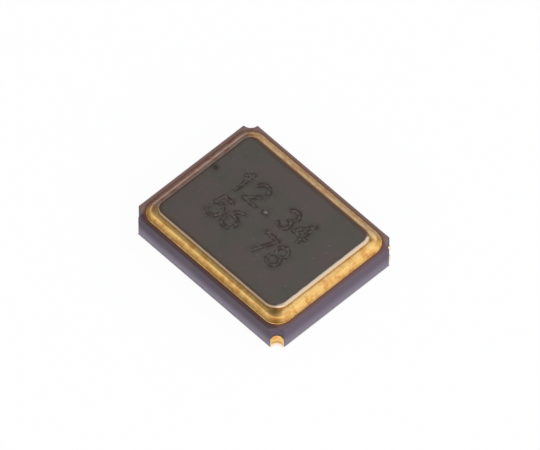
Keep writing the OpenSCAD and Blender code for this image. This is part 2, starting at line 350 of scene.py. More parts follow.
# %% The ceramic's surface
CERAMIC_EDGE_R = 0.010
CAVITY_RIM_R = 0.006
HORN_R = 0.014
FLAT_LIP = 0.013
LEDGE_LENGTH = 0.45
PILLOW = (0.16, 0.70)
PILLOW_R = 0.01
PILLOW_BEVEL = 0.004


def package_outline():
    """The package seen from above: a rectangle with a hollow quarter circle in each corner."""
    return outline(package_half, [notched_corner(NOTCH_R, HORN_R)] * 4)


def ceramic_rows():
    """Rows from the middle of the bottom, up the outside, over the top and down into the cavity."""
    outside = package_outline()
    r = CERAMIC_EDGE_R
    section = [(-FLAT_LIP, ceramic_z)]
    section += bend(-r, ceramic_z + r, r, -90, 0)
    section += [(0.0, height) for height in np.linspace(ceramic_z + r, wall_z - r, 14)[1:-1]]
    section += bend(-r, wall_z - r, r, 0, 90)
    rows = [row(outside, offset, height) for offset, height in section]
    rim = rounded(cavity_half, CAVITY_R)
    r = CAVITY_RIM_R
    inner = [row(rim, offset, height) for offset, height in bend(r, wall_z - r, r, 90, 180, 4)]
    rows += rows_between(rows[-1], inner[0], 5) + inner
    at_ledge = row(rim, 0.0, ledge_z)
    past_ledge = at_ledge.copy()
    past_ledge[:, 0] = np.maximum(past_ledge[:, 0], LEDGE_LENGTH - cavity_half[0])
    at_floor = past_ledge.copy()
    at_floor[:, 2] = floor_z
    return rows + [at_ledge, past_ledge, at_floor]


def pillow_rows():
    """The low pillow under the crystal's free end, which stands on the cavity's floor."""
    half = np.array(PILLOW) / 2
    shape = rounded(half, PILLOW_R, (4, 4))
    centre = np.array([high("quartz_blank")[0] - PILLOW[0], 0.0, 0.0])
    section = [(0.0, floor_z), (0.0, ledge_z - PILLOW_BEVEL), (-PILLOW_BEVEL, ledge_z)]
    return [row(shape, offset, height) + centre for offset, height in section]


ceramic = add_piece(
    "ceramic_body", joined(pile(ceramic_rows()), pile(pillow_rows())), "ceramic", "ceramic_base"
)

# %% [markdown]
# Merging the points that fall together takes bmesh, whose tool also drops the faces that are left
# without any width. The distance is far below the smallest real step.

# %% Merge the ledge's points
import bmesh


def merge_points(piece, distance=0.0002):
    """Merges points nearer than a distance in millimetres, and drops faces without width."""
    build = bmesh.new()
    build.from_mesh(piece.data)
    bmesh.ops.remove_doubles(build, verts=build.verts, dist=distance * MM)
    bmesh.ops.dissolve_degenerate(build, edges=build.edges, dist=distance * MM / 10)
    build.to_mesh(piece.data)
    build.free()
    print(piece.name, "after merging:", len(piece.data.vertices), "points")


merge_points(ceramic)

# %% [markdown]
# ## Seal: metallization, braze and ring
#
# A frame of tungsten is printed on the ceramic and plated, the metal ring is set on it, and silver
# braze runs under the ring and draws up on its rounded edge in a hollow fillet. All three were plated
# with nickel and gold at the end, so they look like one band with a soft outer slope. In section the
# slope is an S: the braze's hollow arc from the foot up, then the ring's own round over to its top.
# The height to which the braze climbs wanders a little along the sides. A bevel makes no hollow arc
# that ends part of the way up a round, so both are worked out as circles in the section, and carried
# round the outline.

# %% Metallization
ring_shape = rounded(ring_half, RING_R)
opening_shape = rounded(opening_half, RING_INNER_R)
band_shape = rounded(band_half, RING_R + BRAZE_REACH + BAND_LIP)
band_opening_shape = rounded(band_opening_half, CAVITY_R)


def frame_pile(outer, inner, outer_section, inner_section, steps):
    """Closed pile: up the outer section, across, and down the inner section."""
    outer_rows = [row(outer, offset, height) for offset, height in outer_section]
    inner_rows = [row(inner, offset, height) for offset, height in inner_section]
    across = rows_between(outer_rows[-1], inner_rows[0], steps)
    return pile(outer_rows + across + inner_rows, closed_rows=True)


def metallization_shape():
    """Thin flat frame whose outer edge sags to a round, as a printed film does."""
    thick = braze_z - wall_z
    outer = [(0.0, wall_z)] + bend(-thick, wall_z, thick, 20, 90, 4)
    inner = [(0.0, braze_z), (0.0, wall_z)]
    return frame_pile(band_shape, band_opening_shape, outer, inner, 4)


add_piece("metallized_band", metallization_shape(), "gold_plating", "seal_metallization")

# %% Braze
BRAZE_WAVE = 0.45
BRAZE_WANDER = math.radians(5)
FOOT_WANDER = 0.04


def slope_rows(shape, seed, steps=12):
    """Rows of the outer fillet, from its foot up to where the braze ends on the ring's rounded edge.

    In section, x is outwards from the ring's wall and y is up from the ring's underside. The hollow
    circle goes through both ends of the slope. So its centre lies square to the middle of the chord
    between them, at the square root of (radius squared - half chord squared).
    """
    uneven = ripple(shape[0], BRAZE_WAVE, seed).clip(-1, 1)[:, None]
    angle = BRAZE_CLIMB_ANGLE + BRAZE_WANDER * uneven
    round_centre = np.array([-RING_EDGE_R, round_z - ring_z])
    end = round_centre + RING_EDGE_R * np.concatenate([np.sin(angle), np.cos(angle)], 1)
    reach = BRAZE_REACH * (1 - FOOT_WANDER + FOOT_WANDER * uneven)
    foot = np.concatenate([reach, np.zeros_like(uneven)], 1)
    chord = end - foot
    length = np.linalg.norm(chord, axis=1)[:, None]
    side = np.stack([chord[:, 1], -chord[:, 0]], 1) / length
    centre = (foot + end) / 2 + side * np.sqrt(BRAZE_HOLLOW_R ** 2 - length ** 2 / 4)
    start = np.arctan2(*(foot - centre).T[::-1])
    sweep = np.arctan2(*(end - centre).T[::-1]) - start
    sweep -= 2 * math.pi * np.round(sweep / (2 * math.pi))
    rows = []
    for share in np.linspace(0, 1, steps + 1):
        x = centre[:, 0] + BRAZE_HOLLOW_R * np.cos(start + share * sweep)
        y = centre[:, 1] + BRAZE_HOLLOW_R * np.sin(start + share * sweep)
        rows.append(row(shape, x, ring_z + y))
    return rows


def inner_fillet_rows(shape, radius, steps=5):
    """Rows of the small hollow fillet at the ring's straight inner wall: a quarter of a circle."""
    ways = directions(-math.pi / 2, -math.pi, steps)
    return [row(shape, radius * (1 + c), ring_z + radius * (1 + s)) for c, s in ways]


def braze_shape():
    """Layer under the ring with a hollow slope at its outer foot and a small fillet at its inner foot."""
    inner_shape = (opening_shape[0], -opening_shape[1])
    outer = slope_rows(ring_shape, 3)
    inner = inner_fillet_rows(inner_shape, BRAZE_INNER_R)
    outer_foot = outer[0].copy()
    outer_foot[:, 2] = braze_z
    inner_foot = inner[0].copy()
    inner_foot[:, 2] = braze_z
    seat = [row(ring_shape, 0.0, round_z), row(ring_shape, 0.0, ring_z), row(opening_shape, 0.0, ring_z)]
    return pile([outer_foot] + outer + seat + inner[::-1] + [inner_foot], closed_rows=True)


# %% [markdown]
# The finish has to know where on the seal it is, so each point also carries a few numbers from 0 to
# 1: whether it lies on one of the two sides that turn away, and how far painted shade darkens it
# there, at the corner at +x -y and in a few spots.

# %% Sides and marks of heat
SIDE_FADE = 0.15
# Corner at +x -y, where painted shade darkens the seal.
SHADED_CORNER = ring_half * (0.965, -0.97)
SHADED_CORNER_R = 0.09


def far_side(points):
    """From 0 on the two sides at -y and +x, to 1 on the two sides at +y and -x."""
    x, y = (points[:, :2] / ring_half).T
    return np.clip((np.maximum(y, -x) - np.maximum(-y, x)) / SIDE_FADE, 0, 1)


def left_side(points):
    """1 on the side at -x alone, fading to 0 at its corners."""
    x, y = (points[:, :2] / ring_half).T
    return np.clip((-x - np.abs(y)) / SIDE_FADE, 0, 1)


def round_spot(points, middle, size):
    """Spot that fades out as exp(-(distance / size) squared)."""
    distance = np.linalg.norm(points[:, :2] - middle, axis=1)
    return np.exp(-((distance / size) ** 2))


def seal_marks(points, corner_shade, *shade_spots):
    """Attributes of a seal piece, from the painted shade at its corner at +x -y and its spots of painted
    shade.

    A spot is given as (strength, middle, size), and the spots are added up.
    """
    return dict(
        far=far_side(points),
        left=left_side(points),
        belt=corner_shade * round_spot(points, SHADED_CORNER, SHADED_CORNER_R),
        spot_shade=sum(strength * round_spot(points, middle, size) for strength, middle, size in shade_spots),
    )


shape = braze_shape()
# Painted shade at the corner at +x -y, and a spot of painted shade on the slope near +x +y.
marks = seal_marks(shape[0], 0.95, (0.7, (1.38, 1.08), 0.07))
add_piece("braze", shape, "braze", "braze_fillet", **marks)

# %% [markdown]
# The ring is stamped from sheet, so its outer top edge is drawn down to a round, and its top falls
# away a little towards it. Its surface has a fine waviness from the plating bath, less than a
# thousandth of a millimetre high, which is what breaks up the shine along it.

# %% Ring
PLATING_WAVE = 0.16
PLATING_WAVE_HEIGHT = 0.0006
PLATING_WAVE_FADE = 0.03
# Spots of painted shade near the corners at +x -y and +x +y.
RING_SHADE_SPOTS = ((0.85, (1.29, -0.99), 0.08), (0.6, (1.32, 0.97), 0.05))


def ring_body():
    """Frame with a rounded outer edge, and a top that is lower by RING_FALL at that edge.

    From the edge inwards to the lid, the top rises by RING_FALL (1 - (1 - share) squared), which is
    steepest at the edge and level at the lid.
    """
    r = RING_EDGE_R
    land = ring_half[0] - lid_half[0]
    outer = [(0.0, ring_z), (0.0, (ring_z + round_z) / 2)]
    outer += bend(-r, round_z, r, 0, RING_EDGE_TURN, 12)
    rows = [row(ring_shape, offset, height) for offset, height in outer]
    edge_offset, edge_height = outer[-1]
    for share in np.linspace(0, 1, 9)[1:]:
        rise = RING_FALL * (1 - (1 - share) ** 2)
        rows.append(row(ring_shape, edge_offset - (land + edge_offset) * share, edge_height + rise))
    inner = [row(opening_shape, 0.0, lid_z), row(opening_shape, 0.0, ring_z)]
    rows += rows_between(rows[-1], inner[0], 5) + inner
    points, faces = pile(rows, closed_rows=True)
    on_top = np.clip((points[:, 2] - ring_z) / PLATING_WAVE_FADE - 1, 0, 1)
    wave = 1 + ripple(points, PLATING_WAVE, 5).clip(-1, 1)
    points[:, 2] -= PLATING_WAVE_HEIGHT * on_top * wave
    return points, faces


shape = ring_body()
add_piece("ring", shape, "gold_plating", "seal_ring", **seal_marks(shape[0], 0.5, *RING_SHADE_SPOTS))

# %% [markdown]
# ## Lid
#
# The lid is a flat plate of nickel-iron-cobalt alloy. Two rollers weld it to the ring along its
# edges, and leave the edge rolled over and bright while the middle stays dull and dark. The middle
# is a fine flat grid, because the marking is a shallow laser mark: each point of the grid is told how
# far it lies from the nearest stroke, and from that come both its depth and its colour. A painted
# image could show the marking too, but it would be one more file, and would blur from near by.
#
# The digits are plain ones that stand for nothing. Each is a few straight strokes and arcs, as a
# marking laser draws them, in a cell one high.

# %% Strokes of the digits


def arc(x, y, radius, start, stop, steps=14):
    """Points along a circle's arc, with angles in degrees."""
    way = directions(math.radians(start), math.radians(stop), steps)
    return np.array([x, y]) + radius * way


def path(*pieces):
    """One stroke through points and arcs."""
    return np.concatenate([np.atleast_2d(piece) for piece in pieces])


STROKES = {
    "1": [path([0.10, 0.78], [0.34, 1.0], [0.34, 0.0])],
    "2": [path(arc(0.31, 0.70, 0.30, 165, -35), [0.02, 0.0], [0.64, 0.0])],
    "3": [path(arc(0.30, 0.745, 0.255, 150, -80), arc(0.30, 0.26, 0.26, 80, -150))],
    "4": [path([0.48, 0.0], [0.48, 1.0], [0.0, 0.28], [0.66, 0.28])],
    "5": [path([0.58, 1.0], [0.12, 1.0], [0.07, 0.54], arc(0.29, 0.32, 0.32, 125, -140))],
    "6": [arc(0.31, 0.30, 0.30, 0, 360), arc(0.66, 0.34, 0.65, 182, 108)],
    "7": [path([0.0, 1.0], [0.62, 1.0], [0.22, 0.0])],
    "8": [arc(0.31, 0.76, 0.24, 0, 360), arc(0.31, 0.27, 0.27, 0, 360)],
    ".": [path([0.30, 0.10], [0.33, 0.10])],
    " ": [],
}
print("strokes in all:", sum(len(strokes) for strokes in STROKES.values()))

# %% Distance from the marking
DIGIT_HEIGHT = 0.39
DIGIT_STEP = 0.315
MIDDLE_STEP = 0.345
LINES = (("12.34", -0.86, 0.10), ("56 78", -0.80, -0.49))


def marking_strokes(wanted):
    """The strokes of the wanted letters in both lines, placed on the lid, in millimetres."""
    placed = []
    for text, x, y in LINES:
        for place, letter in enumerate(text):
            if letter in wanted:
                placed += [stroke * DIGIT_HEIGHT + [x, y] for stroke in STROKES[letter]]
            x += MIDDLE_STEP if place == len(text) // 2 else DIGIT_STEP
    return placed


def distance_to_strokes(points, strokes):
    """Shortest distance from each point to a stroke.

    Each stroke is a chain of straight pieces from a to b. The nearest place on a piece is
    a + t (b - a), with t the point's share of the way along it, held between 0 and 1.
    """
    nearest = np.full(len(points), np.inf)
    for stroke in strokes:
        for a, b in zip(stroke[:-1], stroke[1:]):
            along = b - a
            t = np.clip((points - a) @ along / (along @ along), 0, 1)
            nearest = np.minimum(nearest, np.linalg.norm(points - a - t[:, None] * along, axis=1))
    return nearest


print("strokes placed:", len(marking_strokes("12345678.")))

# %% [markdown]
# The grid's edge has to meet the rounded outline of the lid point for point. So the outline's sides
# get as many steps as the grid needs: a side of the grid has one side's steps and a whole corner's,
# because a half corner falls to it at each end.

# %% The lid's surface
MARK_HALF = np.array([1.02, 0.70])
CELLS = (206, 142)
LID_LIP = 0.06
lid_sides = (CELLS[0] - ARC_STEPS, CELLS[1] - ARC_STEPS)


def marking_grid():
    """Flat grid in the middle of the lid, and the numbers of its edge points in outline order."""
    x = np.linspace(-MARK_HALF[0], MARK_HALF[0], CELLS[0] + 1)
    y = np.linspace(-MARK_HALF[1], MARK_HALF[1], CELLS[1] + 1)
    grid = np.stack(np.meshgrid(x, y, [top_z], indexing="ij"), -1).reshape(-1, 3)
    index = np.arange(len(grid)).reshape(len(x), len(y))
    corners = [index[:-1, :-1], index[1:, :-1], index[1:, 1:], index[:-1, 1:]]
    faces = np.stack(corners, -1).reshape(-1, 4)
    edge = np.concatenate([index[-1, :-1], index[:0:-1, -1], index[0, :0:-1], index[:-1, 0]])
    first = CELLS[1] - ARC_STEPS // 2
    return grid, faces, np.roll(edge, -first)


def lid_rows():
    """Rows of the lid from the middle of its underside, round its rolled edge, onto its top."""
    shape = rounded(lid_half, LID_R, lid_sides)
    r = LID_EDGE_R
    under = LID_UNDER_R
    section = [(-LID_LIP, lid_z)] + bend(-under, lid_z + under, under, -90, 0, 3)
    section += bend(-r, top_z - r, r, 0, 90, 12)
    section += [(-r - 0.015, top_z), (-r - 0.04, top_z)]
    return [row(shape, offset, height) for offset, height in section]


def lid_shape():
    """The rows closed by one flat face below, and joined above to the edge of the marking grid."""
    rows = lid_rows()
    grid, grid_faces, edge = marking_grid()
    rows += rows_between(rows[-1], grid[edge], 7)
    points = np.concatenate(rows)
    columns = len(edge)
    faces = [np.arange(columns)[::-1].tolist()] + strip_faces(len(rows), columns).tolist()
    last = (len(rows) - 1) * columns + np.arange(columns)
    beside = np.roll(last, -1)
    inner = edge + len(points)
    faces += np.stack([last, beside, np.roll(inner, -1), inner], -1).tolist()
    faces += (grid_faces + len(points)).tolist()
    return np.concatenate([points, grid]), faces


lid_points, lid_faces = lid_shape()
print("lid points:", len(lid_points))

# %% The weld and the marking on the lid
WELD_RIGHT = 1.08
WELD_FRONT = 0.46
WELD_FRONT_SHINE = 0.35
WELD_SIDE_FADE = 0.08
WELD_WAVE = 0.22
WELD_WANDER = 0.004
WELD_BLUR = 0.010
MARK_HALF_WIDTH = 0.028
MARK_BLUR = 0.008
MARK_RIM_WIDTH = 0.009
MARK_DEPTH = 0.0004
MARK_HEAT_REACH = 0.075
DOT_HALF_WIDTH = 0.024
DOT_BLUR = 0.018
PIT = ((-1.24, 0.17), 0.055)


def weld_and_painted_highlight(points):
    """How far the bright weld and its painted highlight lighten the lid, from 0 to 1.

    The distance to the edge is that to a rounded rectangle: the length of what sticks out beyond
    the rectangle of the corners' centres, less the radius. The bright band is painted highlight: it
    covers the whole rolled edge along the side at +x. Along the side at -y it covers the lower half
    and is duller, and on the other two sides there is none.
    """
    x, y = points[:, 0], points[:, 1]
    radius = np.choose(2 * (y < 0) + (x < 0), [LID_R[0], LID_R[1], LID_R[3], LID_R[2]])[:, None]
    beyond = np.abs(points[:, :2]) - (lid_half - radius)
    outside = np.linalg.norm(np.maximum(beyond, 0), axis=1) + np.minimum(beyond.max(1), 0)
    inside = radius[:, 0] - outside
    across, along = x / lid_half[0], y / lid_half[1]
    right = np.clip((across - np.abs(along)) / WELD_SIDE_FADE + 0.3, 0, 1)
    front = np.clip((-along - np.abs(across)) / WELD_SIDE_FADE + 0.7, 0, 1) * (1 - right)
    limit = LID_EDGE_R * (WELD_RIGHT * right + WELD_FRONT * front)
    limit += WELD_WANDER * ripple(points[:, :2], WELD_WAVE, 7)
    return np.clip((limit - inside) / WELD_BLUR + 0.5, 0, 1) * (right + WELD_FRONT_SHINE * front)


def lid_marks(points):
    """Attributes of the lid, all from the distance to the nearest stroke, apart from weld and pit.

    mark is 1 within a line and mark_rim peaks along its border: exp(-(distance to it / size)
    squared). mark_heat fades out from the line in the same way, and dot is the middle of the point
    between the digits, which is wider than a line. Only the lid's top is marked.
    """
    dot_gap = distance_to_strokes(points[:, :2], marking_strokes("."))
    gap = distance_to_strokes(points[:, :2], marking_strokes("12345678"))
    gap = np.minimum(gap, dot_gap - DOT_BLUR)
    gap[points[:, 2] < top_z - 0.001] = np.inf
    return dict(
        weld=weld_and_painted_highlight(points),
        mark=np.clip((MARK_HALF_WIDTH - gap) / MARK_BLUR + 0.5, 0, 1),
        mark_rim=np.exp(-(((gap - MARK_HALF_WIDTH) / MARK_RIM_WIDTH) ** 2)),
        mark_heat=np.exp(-((gap / MARK_HEAT_REACH) ** 2)),
        dot=np.clip((DOT_HALF_WIDTH - dot_gap) / DOT_BLUR + 0.5, 0, 1),
        pit=round_spot(points, *PIT),
    )


marks = lid_marks(lid_points)
lid_points[:, 2] -= MARK_DEPTH * marks["mark"]
add_piece("welded_lid", (lid_points, lid_faces), "lid_metal", "lid", **marks)

# %% [markdown]
# ## Terminals
#
# Each terminal is a flat solder pad under a corner, in one piece with the plating that climbs the
# corner's notch. The pad is a plate whose outline has its own arcs, and the plating is a thin wall
# carried round the notch. The wall's upper edge is not ruled: ink was drawn down the hole before
# firing, so it ends in a soft, uneven rim. Solidify could give the wall its thickness, but only one
# thickness, and real plating swells at the foot and grows or thins towards the notch's horns.

# %% Solder pads
PAD_MARGIN = 0.05
PAD_LENGTH = 0.95
PAD_WIDTH = 0.80
PAD_R = 0.05
PAD_EDGE_R = 0.006
PAD_LIP = 0.007
INDEX_CHAMFER = 0.20
PLATING = 0.02


def pad_outline(chamfer):
    """Outline of the pad at the corner +x +y, anticlockwise, with a hollow where the notch is.

    The hollow's circle is centred on the package's corner, and cuts each outer edge of the pad
    where the square root of (radius squared - margin squared) is left to the corner.
    """
    right, top = package_half - PAD_MARGIN
    left, bottom = right - PAD_LENGTH, top - PAD_WIDTH
    radius = NOTCH_R - PLATING
    start = math.degrees(math.asin(PAD_MARGIN / radius))
    parts = [
        arc(right - PAD_R, bottom + PAD_R, PAD_R, -90, 0, 8),
        arc(*package_half, radius, 270 - start, 180 + start, 16),
        arc(left + PAD_R, top - PAD_R, PAD_R, 90, 180, 8),
    ]
    if chamfer:
        parts.append(np.array([[left, bottom + chamfer], [left + chamfer, bottom]]))
    else:
        parts.append(arc(left + PAD_R, bottom + PAD_R, PAD_R, 180, 270, 8))
    return np.concatenate(parts)


def outward_ways(points):
    """Outward direction at each point: the mean way of its two edges, turned clockwise."""
    edges = np.roll(points, -1, 0) - points
    edges /= np.linalg.norm(edges, axis=1)[:, None]
    along = edges + np.roll(edges, 1, 0)
    along /= np.linalg.norm(along, axis=1)[:, None]
    return np.stack([along[:, 1], -along[:, 0]], -1)


def pad_pile(chamfer):
    """Plate with a softly rounded lower edge, since plating never builds a sharp one."""
    points = pad_outline(chamfer)
    shape = (points, outward_ways(points))
    r = PAD_EDGE_R
    section = [(-PAD_LIP, pad_bottom)] + bend(-r, pad_bottom + r, r, -90, 0, 4) + [(0.0, ceramic_z)]
    return pile([row(shape, offset, height) for offset, height in section])


print("points round a pad:", len(pad_outline(0.0)))

# %% Plating in the notch
WALL_STEPS = 28
WALL_END_TURN = math.radians(3)
WALL_FOOT_Z = 0.002
WALL_SWELL = 0.004
SWELL_BLUR = 0.006
RIM_WAVE = 0.12
RIM_WANDER = 0.004
RIM_ROOM = 0.005
RIM_THINNING = 0.008
BELT_Z = 0.10


def notch_wall(rim_drop, rim_sag, end_growth, seed):
    """Thin wall carried round a quarter circle about the package's corner.

    Its section is a closed loop: down the open face, across the foot, up the hidden face against
    the ceramic, and over a rounded rim. The open face swells by a few thousandths below a belt:
    swell / (1 + exp((height - belt) / blur)). Near the rim it thins by the height's share to the
    power of 12. The foot ends a hair above the pad's lower face, so that no two faces lie in one
    plane. Towards the notch's two horns the plating grows thicker or thinner, as the ink has run,
    by a share that goes from a value at the foot to another at the rim.
    """
    turn = directions(math.pi + WALL_END_TURN, 1.5 * math.pi - WALL_END_TURN, WALL_STEPS)
    from_middle = np.abs(np.linspace(-1, 1, WALL_STEPS + 1))
    ends = from_middle ** 6
    climb = high("terminal_3")[2] - rim_drop
    sag = rim_sag * from_middle ** 3
    rim = climb + RIM_WANDER * ripple(turn * NOTCH_R, RIM_WAVE, seed) - RIM_ROOM - sag
    heights = np.linspace(0, 1, 25)
    swell = WALL_SWELL / (1 + np.exp((heights * climb - BELT_Z) / SWELL_BLUR))
    thicknesses = PLATING + swell - RIM_THINNING * heights ** 12
    face = list(zip(thicknesses, heights))
    loop = face[::-1] + [(0.0, 0.0), (0.0, 1.0), (0.5 * PLATING, 1.015)]
    rows = []
    for thickness, share in loop:
        growth = np.interp(share, (0.25, 0.6), end_growth)
        place = package_half + (NOTCH_R - thickness * (1 + growth * ends)[:, None]) * turn
        height = WALL_FOOT_Z + (rim - WALL_FOOT_Z) * share
        rows.append(np.concatenate([place, height[:, None]], -1))
    rows = np.stack(rows, 1)
    points = rows.reshape(-1, 3)
    columns = len(loop)
    faces = strip_faces(len(turn), columns)[:, ::-1].tolist()
    faces.append(np.arange(columns).tolist())
    faces.append((np.arange(columns) + (len(turn) - 1) * columns)[::-1].tolist())
    return points, faces


def mirrored(shape, side_x, side_y):
    """Moves a shape from the corner +x +y to another corner, and keeps its faces pointing out."""
    points, faces = shape
    points = points * np.array([side_x, side_y, 1.0])
    if side_x * side_y < 0:
        faces = [face[::-1] for face in faces]
    return points, faces


# %% [markdown]
# No two notches are plated alike. So each terminal says how far its plating's rim lies below the
# highest one and sags towards the horns, how much thicker the plating grows at the horns, near the
# foot and near the rim, how high a painted reflection of the white floor reaches on it, and how dark
# its belt of painted shade is.

# %% Terminals
TERMINALS = {
    "terminal_1": dict(
        corner=(-1, -1), chamfer=INDEX_CHAMFER,
        rim_drop=0.075, rim_sag=0.06, end_growth=(-0.85, -0.85), floor_reflection_height=0.085, belt=0.0,
    ),
    "terminal_2": dict(
        corner=(1, -1), chamfer=0.0,
        rim_drop=0.0, rim_sag=0.06, end_growth=(0.5, 0.5), floor_reflection_height=0.085, belt=0.8,
    ),
    "terminal_3": dict(
        corner=(1, 1), chamfer=0.0,
        rim_drop=0.0, rim_sag=0.0, end_growth=(-0.85, 0.8), floor_reflection_height=0.26, belt=0.0,
    ),
    "terminal_4": dict(
        corner=(-1, 1), chamfer=0.0,
        rim_drop=0.02, rim_sag=0.06, end_growth=(0.0, 0.0), floor_reflection_height=0.085, belt=0.8,
    ),
}
FLOOR_REFLECTION_FADE = 0.05
BELT_HEIGHT = 0.012

for count, (solid, terminal) in enumerate(TERMINALS.items()):
    pad = pad_pile(terminal["chamfer"])
    wall = notch_wall(terminal["rim_drop"], terminal["rim_sag"], terminal["end_growth"], 11 + count)
    on_wall = np.arange(len(pad[0]) + len(wall[0])) >= len(pad[0])
    shape = mirrored(joined(pad, wall), *terminal["corner"])
    height = shape[0][:, 2]
    # Painted reflection of the white floor, up to the given height.
    foot = np.clip((terminal["floor_reflection_height"] - height) / FLOOR_REFLECTION_FADE, 0, 1) * on_wall
    # Painted shade: a brown belt round the plating.
    belt = terminal["belt"] * np.exp(-(((height - BELT_Z) / BELT_HEIGHT) ** 2)) * on_wall
    add_piece("plated_" + solid, shape, "gold_plating", solid, foot=foot, belt=belt)

# %% [markdown]
# ## Finishes
#
# A finish is one Principled shader with a few patterns in front of it. The patterns read the
# object's own coordinates, in metres, so a grain of a hundredth of a millimetre takes a scale of
# about a hundred thousand. Noise like this needs no unwrapping and no image, and stays fine however
# near one looks. Two small classes keep each finish short. The first adds nodes to any tree and
# hands back the socket to join on. The second starts a material, and knows the place on the object.

# %% A helper for node trees


def colour(red, green, blue):
    """Screen colour from 0 to 255 as the linear colour that a shader takes."""
    screen = np.array([red, green, blue]) / 255
    linear = np.where(screen <= 0.04045, screen / 12.92, ((screen + 0.055) / 1.055) ** 2.4)
    return (*(float(value) for value in linear), 1.0)


class Nodes:
    """Short ways to add nodes to a tree."""

    def __init__(self, tree):
        self.tree = tree

    def add(self, kind, **settings):
        """A new node with some of its settings made."""
        node = self.tree.nodes.new(kind)
        for label, value in settings.items():
            setattr(node, label, value)
        return node

    def join(self, output, socket):
        """Joins one node's output to another's input."""
        self.tree.links.new(output, socket)

    def give(self, value, socket):
        """Joins the value to an input if it is a socket, and sets the input to it otherwise."""
        if isinstance(value, bpy.types.NodeSocket):
            self.join(value, socket)
        else:
            socket.default_value = value

    def combined(self, kind, *values):
        """Adds, multiplies or otherwise combines values, each a socket or a plain number."""
        node = self.add("ShaderNodeMath", operation=kind)
        for value, socket in zip(values, node.inputs):
            self.give(value, socket)
        return node.outputs[0]

    def vector(self, kind, first, second=(0.0, 0.0, 0.0)):
        """Combines two vectors, of which the second is constant."""
        node = self.add("ShaderNodeVectorMath", operation=kind)
        self.join(first, node.inputs[0])
        node.inputs[1].default_value = second
        return node.outputs["Value" if kind in ("LENGTH", "DOT_PRODUCT") else "Vector"]

    def scaled(self, value, low, high, to_low, to_high, kind="LINEAR"):
        """Maps the range low to high onto to_low to to_high, and holds it there."""
        node = self.add("ShaderNodeMapRange", interpolation_type=kind)
        for label, number in zip(("From Min", "From Max", "To Min", "To Max"), (low, high, to_low, to_high)):
            node.inputs[label].default_value = number
        self.join(value, node.inputs["Value"])
        return node.outputs["Result"]

    def blend(self, factor, first, second, kind="MIX"):
        """Mixes two colours by a factor, each a socket or a plain value."""
        node = self.add("ShaderNodeMix", data_type="RGBA", blend_type=kind)
        sockets = (node.inputs[0], node.inputs[6], node.inputs[7])
        for value, socket in zip((factor, first, second), sockets):
            self.give(value, socket)
        return node.outputs[2]


print("a middle grey as a shader takes it:", np.round(colour(128, 128, 128), 3))

# %% A helper for finishes


class Finish(Nodes):
    """A material with one Principled shader, and short ways to add patterns to it."""

    def __init__(self, name, **constants):
        self.material = bpy.data.materials.new(name)
        self.material.use_nodes = True
        super().__init__(self.material.node_tree)
        self.shader = self.tree.nodes["Principled BSDF"]
        self.place = self.add("ShaderNodeTexCoord").outputs["Object"]
        for label, value in constants.items():
            self.shader.inputs[label.replace("_", " ")].default_value = value

    def noise(self, size_mm, detail=3.0, rough=0.5):
        """Cloudy noise whose features are about size_mm across, from 0 to 1."""
        spread = self.add("ShaderNodeMapping")
        spread.inputs["Scale"].default_value = (1 / (size_mm * MM),) * 3
        self.join(self.place, spread.inputs["Vector"])
        cloud = self.add("ShaderNodeTexNoise")
        cloud.inputs["Scale"].default_value = 1.0
        cloud.inputs["Detail"].default_value = detail
        cloud.inputs["Roughness"].default_value = rough
        self.join(spread.outputs["Vector"], cloud.inputs["Vector"])
        return cloud.outputs["Fac"]

    def ramp(self, value, *stops):
        """Colour ramp over a value, from (position, colour) pairs."""
        node = self.add("ShaderNodeValToRGB")
        stretch = node.color_ramp.elements
        while len(stretch) < len(stops):
            stretch.new(0.5)
        for element, (position, shade) in zip(stretch, stops):
            element.position = position
            element.color = shade
        self.join(value, node.inputs["Fac"])
        return node.outputs["Color"]

    def attribute(self, label):
        """A number stored at each point of the mesh, or 0 on a mesh without it."""
        return self.add("ShaderNodeAttribute", attribute_name=label).outputs["Fac"]

    def part(self, axis):
        """One coordinate of the place on the object, in metres."""
        node = self.add("ShaderNodeSeparateXYZ")
        self.join(self.place, node.inputs[0])
        return node.outputs[axis]

    def rise(self, axis, start, stop, peak=1.0):
        """From 0 where the coordinate is start to peak where it is stop, both in millimetres."""
        return self.scaled(self.part(axis), start * MM, stop * MM, 0.0, peak)

    def past(self, half):
        """How far the place lies past a rectangle's corner along x and along y, seen from above."""
        flat = self.vector("MULTIPLY", self.vector("ABSOLUTE", self.place), (1.0, 1.0, 0.0))
        return self.vector("SUBTRACT", flat, (float(half[0]) * MM, float(half[1]) * MM, 0.0))

    def beyond(self, half, radius):
        """Distance outside a rounded rectangle seen from above, in metres, and minus the radius inside.

        It is the length of what sticks out past the corners' centres, less the radius.
        """
        corner = self.vector("MAXIMUM", self.past(np.array(half) - radius))
        return self.combined("SUBTRACT", self.vector("LENGTH", corner), radius * MM)

    def bump(self, value, height_mm, strength):
        """Raises the surface by up to height_mm where the value is 1."""
        node = self.add("ShaderNodeBump")
        node.inputs["Distance"].default_value = height_mm * MM
        node.inputs["Strength"].default_value = strength
        self.join(value, node.inputs["Height"])
        self.join(node.outputs["Normal"], self.shader.inputs["Normal"])

    def drive(self, label, value):
        """Joins a socket to one of the shader's inputs."""
        self.join(value, self.shader.inputs[label])


finishes = {}


def keep(slot, finish):
    """Files a finish under the record's name for its material."""
    finishes[slot] = finish.material
    print(slot, "finish, nodes:", len(finish.tree.nodes))


# %% [markdown]
# Dark alumina is almost black-brown in the shade and takes a violet cast in white light. It is matt
# and very finely grained. Its walls carry painted shade on the side at -y, painted light from the
# white floor that makes them paler towards the foot, and painted shade that makes them darker and
# browner towards the top. On top it is browner. Next to the seal it is brownest, partly from stain
# of the plating bath and the braze and partly from painted shade at the seal's foot. Of its four
# margins, the one at -y is darkened with painted shade, and those at +y and -x are lightened with
# painted light. The corners have a violet cast again.

